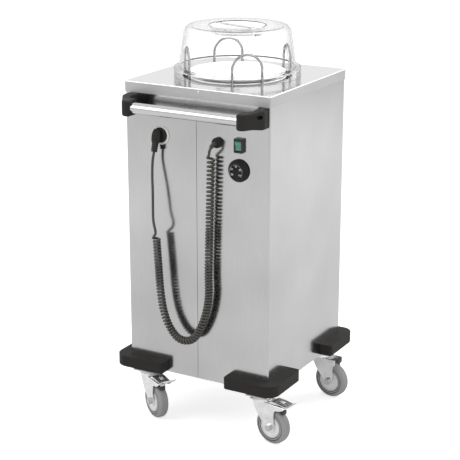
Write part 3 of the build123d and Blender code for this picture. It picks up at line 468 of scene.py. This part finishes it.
def newTree(name, sizes):
    tree = bpy.data.node_groups.new(name, "GeometryNodeTree")
    tree.interface.new_socket("Path", in_out="INPUT", socket_type="NodeSocketGeometry")
    for label, value in sizes.items():
        kind = "NodeSocketInt" if isinstance(value, int) else "NodeSocketFloat"
        tree.interface.new_socket(label, in_out="INPUT", socket_type=kind).default_value = value
    tree.interface.new_socket("Shape", in_out="OUTPUT", socket_type="NodeSocketGeometry")
    return tree, tree.nodes.new("NodeGroupInput"), tree.nodes.new("NodeGroupOutput")


def closeTree(tree, shape, end, finish):
    real = tree.nodes.new("GeometryNodeRealizeInstances")
    coat = tree.nodes.new("GeometryNodeSetMaterial")
    coat.inputs["Material"].default_value = finish
    tree.links.new(shape, real.inputs["Geometry"])
    tree.links.new(real.outputs["Geometry"], coat.inputs["Geometry"])
    tree.links.new(coat.outputs["Geometry"], end.inputs["Shape"])


def pointsOnPath(tree, start):
    line = tree.nodes.new("GeometryNodeMeshToCurve")
    even = tree.nodes.new("GeometryNodeResampleCurve")
    tangent = tree.nodes.new("GeometryNodeInputTangent")
    turn = tree.nodes.new("FunctionNodeAlignRotationToVector")
    turn.axis = "Z"
    place = tree.nodes.new("GeometryNodeInstanceOnPoints")
    tree.links.new(start.outputs["Path"], line.inputs["Mesh"])
    tree.links.new(line.outputs["Curve"], even.inputs["Curve"])
    tree.links.new(start.outputs["Count"], even.inputs["Count"])
    tree.links.new(tangent.outputs["Tangent"], turn.inputs["Vector"])
    tree.links.new(even.outputs["Curve"], place.inputs["Points"])
    tree.links.new(turn.outputs["Rotation"], place.inputs["Rotation"])
    return place


def ringTree(finish):
    tree, start, end = newTree("ringsAlongPath", {"Count": 8, "Ring radius": 0.005, "Ring thickness": 0.0006})
    place = pointsOnPath(tree, start)
    ring = tree.nodes.new("GeometryNodeCurvePrimitiveCircle")
    ring.inputs["Resolution"].default_value = 32
    section = tree.nodes.new("GeometryNodeCurvePrimitiveCircle")
    section.inputs["Resolution"].default_value = 8
    body = tree.nodes.new("GeometryNodeCurveToMesh")
    tree.links.new(start.outputs["Ring radius"], ring.inputs["Radius"])
    tree.links.new(start.outputs["Ring thickness"], section.inputs["Radius"])
    tree.links.new(ring.outputs["Curve"], body.inputs["Curve"])
    tree.links.new(section.outputs["Curve"], body.inputs["Profile Curve"])
    tree.links.new(body.outputs["Mesh"], place.inputs["Instance"])
    closeTree(tree, place.outputs["Instances"], end, finish)
    return tree


def ribTree(finish):
    tree, start, end = newTree("ribsAlongPath", {"Count": 10, "Rib length": 0.026, "Rib radius": 0.0011})
    place = pointsOnPath(tree, start)
    rib = tree.nodes.new("GeometryNodeMeshCylinder")
    rib.inputs["Vertices"].default_value = 10
    across = tree.nodes.new("GeometryNodeTransform")
    across.inputs["Rotation"].default_value = (math.pi / 2, 0, 0)
    tree.links.new(start.outputs["Rib radius"], rib.inputs["Radius"])
    tree.links.new(start.outputs["Rib length"], rib.inputs["Depth"])
    tree.links.new(rib.outputs["Mesh"], across.inputs["Geometry"])
    tree.links.new(across.outputs["Geometry"], place.inputs["Instance"])
    closeTree(tree, place.outputs["Instances"], end, finish)
    return tree


def tickTree(finish):
    tree, start, end = newTree("dialTicks", {"Count": 21, "Dial radius": 0.0185, "Start angle": -2.3,
                                             "Sweep": 4.6, "Tick length": 0.0022, "Tick width": 0.0006,
                                             "Tick height": 0.0004})
    arc = tree.nodes.new("GeometryNodeCurveArc")
    tangent = tree.nodes.new("GeometryNodeInputTangent")
    turn = tree.nodes.new("FunctionNodeAlignRotationToVector")
    turn.axis = "X"
    place = tree.nodes.new("GeometryNodeInstanceOnPoints")
    size = tree.nodes.new("ShaderNodeCombineXYZ")
    tick = tree.nodes.new("GeometryNodeMeshCube")
    tree.links.new(start.outputs["Count"], arc.inputs["Resolution"])
    tree.links.new(start.outputs["Dial radius"], arc.inputs["Radius"])
    tree.links.new(start.outputs["Start angle"], arc.inputs["Start Angle"])
    tree.links.new(start.outputs["Sweep"], arc.inputs["Sweep Angle"])
    tree.links.new(start.outputs["Tick width"], size.inputs["X"])
    tree.links.new(start.outputs["Tick length"], size.inputs["Y"])
    tree.links.new(start.outputs["Tick height"], size.inputs["Z"])
    tree.links.new(size.outputs["Vector"], tick.inputs["Size"])
    tree.links.new(tick.outputs["Mesh"], place.inputs["Instance"])
    tree.links.new(arc.outputs["Curve"], place.inputs["Points"])
    tree.links.new(tangent.outputs["Tangent"], turn.inputs["Vector"])
    tree.links.new(turn.outputs["Rotation"], place.inputs["Rotation"])
    closeTree(tree, place.outputs["Instances"], end, finish)
    return tree


def grow(name, path, tree, sizes, finish):   # runs a node tree along a path and keeps the plain mesh
    mesh = bpy.data.meshes.new(name)
    mesh.from_pydata(path, [(i, i + 1) for i in range(len(path) - 1)], [])
    piece = added(name, mesh)
    grown = piece.modifiers.new("grown", "NODES")
    grown.node_group = tree
    for socket in tree.interface.items_tree:
        if socket.in_out == "INPUT" and socket.name in sizes:
            grown[socket.identifier] = sizes[socket.name]
    piece.data = plainMesh(piece)
    piece.modifiers.clear()
    piece.data.materials.clear()
    piece.data.materials.append(finish)
    return piece


def smoothed(piece, angle=35):
    mesh = piece.data
    mesh.polygons.foreach_set("use_smooth", [True] * len(mesh.polygons))
    mesh.set_sharp_from_angle(angle=math.radians(angle))


def moved(piece, x, y, z, at):
    turn = Matrix((x, y, z)).transposed()    # columns are the piece's own axes
    for vertex in piece.data.vertices:
        vertex.co = turn @ vertex.co + at
    piece.data.update()


sleeveSet = {"length": 0.023, "step": 0.0012, "thick": 0.0056, "thin": 0.0042, "sides": 24, "rings": 6,
             "ringSize": 0.0007, "plugNeck": (-111.7, 10, 823), "plugShares": (0.04, 0.12, 0.2, 0.28, 0.36),
             "plugRingRadius": 0.0078, "smoothAngle": 60, "smoothPasses": 2}


def sleeveRings(name, path, tree, count, radius):
    rings = grow(name, path, tree, {"Count": count, "Ring radius": radius, "Ring thickness": sleeveSet["ringSize"]},
                 finishes["cord_sheath"])
    smoothed(rings, sleeveSet["smoothAngle"])
    return rings


def makeSleeves():
    s = sleeveSet
    path, gone = [cordLine[0]], 0.0
    for a, b in zip(cordLine, cordLine[1:]):
        gone += (b - a).length
        if gone > s["length"]:
            break
        path.append(b)
    path = smoothLine(evenLine(path, s["step"]), s["smoothPasses"])
    sleeve = tubeAlong("glandSleeve", path, lambda share: s["thick"] + (s["thin"] - s["thick"]) * share, s["sides"])
    sleeve.data.materials.append(finishes["cord_sheath"])
    tree = ringTree(finishes["cord_sheath"])
    ribs = sleeveRings("glandSleeveRings", [tuple(p) for p in path[2:-2]], tree, s["rings"],
                       (s["thick"] + s["thin"]) / 2)
    low, high = spot(*plugPoints[-1]), spot(*s["plugNeck"])
    grip = sleeveRings("plugSleeveRings", [tuple(low.lerp(high, share)) for share in s["plugShares"]], tree,
                       len(s["plugShares"]), s["plugRingRadius"])
    for piece in (sleeve, ribs, grip):
        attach(piece, "root")
    return [sleeve, ribs, grip]


sleeves = makeSleeves()
print("strain reliefs made")


dialSet = {"numbers": ("30", "50", "70", "90", "110"), "numberRadius": 0.0135, "numberHeight": 0.0046,
           "fontSizePerHeight": 1.35, "numberRise": 0.00015, "first": 215, "sweep": 250, "ticks": 21,
           "tickRadius": 0.0182, "out": 17.0, "x": 125, "z": 741.7}


def makeDial():
    s = dialSet
    right, up, ahead = Vector((1, 0, 0)), Vector((0, 0, 1)), Vector((0, -1, 0))
    centre = spot(s["x"], s["out"], s["z"])
    ticks = grow("dialTicks", [(0, 0, 0)], tickTree(dialPaint),
                 {"Count": s["ticks"], "Dial radius": s["tickRadius"],
                  "Start angle": math.radians(s["first"] - s["sweep"]), "Sweep": math.radians(s["sweep"])}, dialPaint)
    moved(ticks, right, up, ahead, centre)
    parts = [ticks]
    for i, number in enumerate(s["numbers"]):
        text = bpy.data.curves.new("number" + number, "FONT")
        text.body = number
        text.size = s["numberHeight"] * s["fontSizePerHeight"]
        text.extrude = s["numberRise"]
        text.align_x, text.align_y = "CENTER", "CENTER"
        drawn = added("number" + number, text)
        mesh = plainMesh(drawn)
        bpy.data.objects.remove(drawn)
        piece = added("dialNumber" + number, mesh)
        angle = math.radians(s["first"] - s["sweep"] * i / (len(s["numbers"]) - 1))
        at = centre + (right * math.cos(angle) + up * math.sin(angle)) * s["numberRadius"]
        moved(piece, right, up, ahead, at)
        mesh.materials.clear()
        mesh.materials.append(dialPaint)
        parts.append(piece)
    for piece in parts:
        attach(piece, "thermostat_knob")


makeDial()
print("dial marked")


# tyre sizes are in millimetres (radius, distance from the middle of the wheel), treads in metres
tyreSet = {"steps": 112, "seat": [(31.05, 11.0), (32.8, 11.0), (33.2, 14.9)], "face": 15, "grooveRadius": 38.6,
           "grooveWide": 1.1, "grooveNarrow": 0.7, "grooveDepth": 1.8,
           "shoulder": [(40.6, 15), (41.2, 14.7), (43, 12.9), (46.5, 11.7), (48.2, 9.8), (49.1, 8.2), (48.4, 7.0),
                        (49.6, 6.2), (49.95, 5.2)],
           "tread": [(49.95, 3.2), (48.9, 2.8), (48.9, 2.0), (49.95, 1.6)],
           "darkRings": (31.9, 33.0, 38.6), "darkReach": 0.9}
treadSet = {"start": 0.050, "end": 0.084, "points": 13, "rises": ((0.042, 0.1242), (0.062, 0.1234), (0.088, 0.120)),
            "lift": 0.0002, "ribs": 12, "ribLength": 0.026, "ribRadius": 0.0010,
            "embossFrom": 4, "embossTo": 9, "embossRibs": 4, "embossLength": 0.011, "embossRadius": 0.0015}
joints = {joint["name"]: joint for joint in frame["record"]["behaviour"]["joints"]}


def castorFrame(name):                       # swivel's foot, trailing direction, axle's direction, wheel's middle
    swivel = Vector(joints["swivel_turn_" + name]["pos_m"])
    axle = Vector(joints["wheel_turn_" + name]["pos_m"])
    along = Vector((axle.x - swivel.x, axle.y - swivel.y, 0)).normalized()
    across = Vector((-along.y, along.x, 0))
    return Vector((swivel.x, swivel.y, 0)), along, across, axle


def turnedPiece(name, profile, centre, axis, steps):     # a closed outline turned round an axle
    side = Vector((0, 0, 1))
    front = axis.cross(side)
    verts, faces, count = [], [], len(profile)
    for i in range(steps):
        angle = 2 * math.pi * i / steps
        spoke = side * math.cos(angle) + front * math.sin(angle)
        verts += [centre + spoke * (radius / 1000) + axis * (along / 1000) for radius, along in profile]
    for i in range(steps):
        a, b = i * count, (i + 1) % steps * count
        faces += [(a + k, a + (k + 1) % count, b + (k + 1) % count, b + k) for k in range(count)]
    mesh = bpy.data.meshes.new(name)
    mesh.from_pydata(verts, [], faces)
    edit = bmesh.new()
    edit.from_mesh(mesh)
    bmesh.ops.recalc_face_normals(edit, faces=edit.faces)
    edit.to_mesh(mesh)
    edit.free()
    piece = added(name, mesh)
    smoothed(piece)
    return piece


def tyreProfile():
    s = tyreSet
    middle, face, bottom = s["grooveRadius"], s["face"], s["face"] - s["grooveDepth"]
    groove = [(middle - s["grooveWide"], face), (middle - s["grooveNarrow"], bottom),
              (middle + s["grooveNarrow"], bottom), (middle + s["grooveWide"], face)]
    half = s["seat"] + groove + s["shoulder"] + s["tread"]
    return half + [(radius, -along) for radius, along in reversed(half)]


def makeTyres():
    s = tyreSet
    profile = tyreProfile()
    for name in ("front_right", "front_left", "back_right", "back_left"):
        across, axle = castorFrame(name)[2:]
        tyre = turnedPiece("tyre_" + name, profile, axle, across, s["steps"])
        tyre.data.materials.append(finishes["tyre_rubber"])
        tyre.data.materials.append(grooveShade)
        for face in tyre.data.polygons:
            reach = (face.center - axle).cross(across).length * 1000
            if any(abs(reach - radius) < s["darkReach"] for radius in s["darkRings"]):
                face.material_index = 1
        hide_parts("castor_tyre_" + name)
        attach(tyre, "wheel_" + name)


def pedalHeight(reach):                      # top of the pedal at a distance from the swivel
    low, middle, high = treadSet["rises"]
    a, b = (low, middle) if reach < middle[0] else (middle, high)
    return a[1] + (b[1] - a[1]) * (reach - a[0]) / (b[0] - a[0])


def makeTreads():
    s = treadSet
    # the ribs take the dark painted-shade metal; the emboss keeps the zinc
    dark, bright = ribTree(paintedShadeTreadSteel), ribTree(finishes["castor_zinc"])
    reaches = [s["start"] + (s["end"] - s["start"]) * i / (s["points"] - 1) for i in range(s["points"])]
    path = [(reach, 0, pedalHeight(reach) + s["lift"]) for reach in reaches]
    middle = [(reach, 0, height + 2 * s["lift"]) for reach, side, height in path[s["embossFrom"]:s["embossTo"]]]
    for name in ("front_right", "front_left"):
        start, along, across, axle = castorFrame(name)
        ribs = grow("pedalRibs_" + name, path, dark,
                    {"Count": s["ribs"], "Rib length": s["ribLength"], "Rib radius": s["ribRadius"]}, paintedShadeTreadSteel)
        emboss = grow("pedalEmboss_" + name, middle, bright,
                      {"Count": s["embossRibs"], "Rib length": s["embossLength"], "Rib radius": s["embossRadius"]},
                      finishes["castor_zinc"])
        for piece in (ribs, emboss):
            smoothed(piece)
            moved(piece, along, across, Vector((0, 0, 1)), start)
            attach(piece, "brake_" + name)


makeTyres()
makeTreads()
print("castors dressed")


# rays that see the room itself get their own strength: the camera's, mirrored ones, and ones through glass
roomSet = {"light": 0.55, "seen": 1.0, "floorHalf": 20, "floorTone": 0.8,
           "floorGlow": {"Is Camera Ray": 0.62, "Is Glossy Ray": 0.28, "Is Transmission Ray": 0.62}}
# each lamp: place, width and height, power
lampSet = {"aim": (0, 0, 0.5),
           "keyLamp": ((-2.6, -3.0, 3.2), (2.4, 2.4), 60), "fillLamp": ((3.4, -1.6, 2.2), (2.0, 2.6), 26),
           "topLamp": ((0.2, 0.6, 4.0), (3.0, 3.0), 40), "backLamp": ((2.4, 3.4, 2.6), (2.4, 2.4), 65)}


def makeRoom(s):
    world = bpy.data.worlds.new("studio")
    bpy.context.scene.world = world
    world.use_nodes = True
    tree = world.node_tree
    tree.nodes.clear()
    out = tree.nodes.new("ShaderNodeOutputWorld")
    path = tree.nodes.new("ShaderNodeLightPath")
    mix = tree.nodes.new("ShaderNodeMixShader")
    for slot, strength in ((1, s["light"]), (2, s["seen"])):
        white = tree.nodes.new("ShaderNodeBackground")
        white.inputs["Color"].default_value = (1, 1, 1, 1)
        white.inputs["Strength"].default_value = strength
        tree.links.new(white.outputs[0], mix.inputs[slot])
    seeing = path.outputs["Is Camera Ray"]
    for ray in ("Is Glossy Ray", "Is Transmission Ray"):
        either = tree.nodes.new("ShaderNodeMath")
        either.operation = "MAXIMUM"
        tree.links.new(seeing, either.inputs[0])
        tree.links.new(path.outputs[ray], either.inputs[1])
        seeing = either.outputs[0]
    tree.links.new(seeing, mix.inputs["Fac"])
    tree.links.new(mix.outputs[0], out.inputs["Surface"])


def makeFloor(s):
    half, tone = s["floorHalf"], s["floorTone"]
    mesh = bpy.data.meshes.new("floor")
    mesh.from_pydata([(-half, -half, 0), (half, -half, 0), (half, half, 0), (-half, half, 0)], [], [(0, 1, 2, 3)])
    floor = added("floor", mesh)
    finish = bpy.data.materials.new("paleFloor")
    finish.use_nodes = True
    tree = finish.node_tree
    tree.nodes.clear()
    out = tree.nodes.new("ShaderNodeOutputMaterial")
    path = tree.nodes.new("ShaderNodeLightPath")
    cloth = tree.nodes.new("ShaderNodeBsdfDiffuse")
    cloth.inputs["Color"].default_value = grey(tone) + (1,)
    surface = cloth.outputs[0]
    for ray, strength in s["floorGlow"].items():
        glow = tree.nodes.new("ShaderNodeEmission")
        glow.inputs["Strength"].default_value = strength
        both = tree.nodes.new("ShaderNodeAddShader")
        mix = tree.nodes.new("ShaderNodeMixShader")
        tree.links.new(path.outputs[ray], mix.inputs["Fac"])
        tree.links.new(surface, both.inputs[0])
        tree.links.new(glow.outputs[0], both.inputs[1])
        tree.links.new(surface, mix.inputs[1])
        tree.links.new(both.outputs[0], mix.inputs[2])
        surface = mix.outputs[0]
    tree.links.new(surface, out.inputs["Surface"])
    mesh.materials.append(finish)


def softLamp(name, place, size, power):
    data = bpy.data.lights.new(name, "AREA")
    data.shape = "RECTANGLE"
    data.size, data.size_y = size
    data.energy = power
    lamp = added(name, data)
    lamp.location = place
    lamp.rotation_euler = (Vector(place) - Vector(lampSet["aim"])).to_track_quat("Z", "Y").to_euler()


makeRoom(roomSet)
makeFloor(roomSet)
for lampName in ("keyLamp", "fillLamp", "topLamp", "backLamp"):
    softLamp(lampName, *lampSet[lampName])
bpy.context.scene.view_settings.view_transform = "Standard"
print("room made")
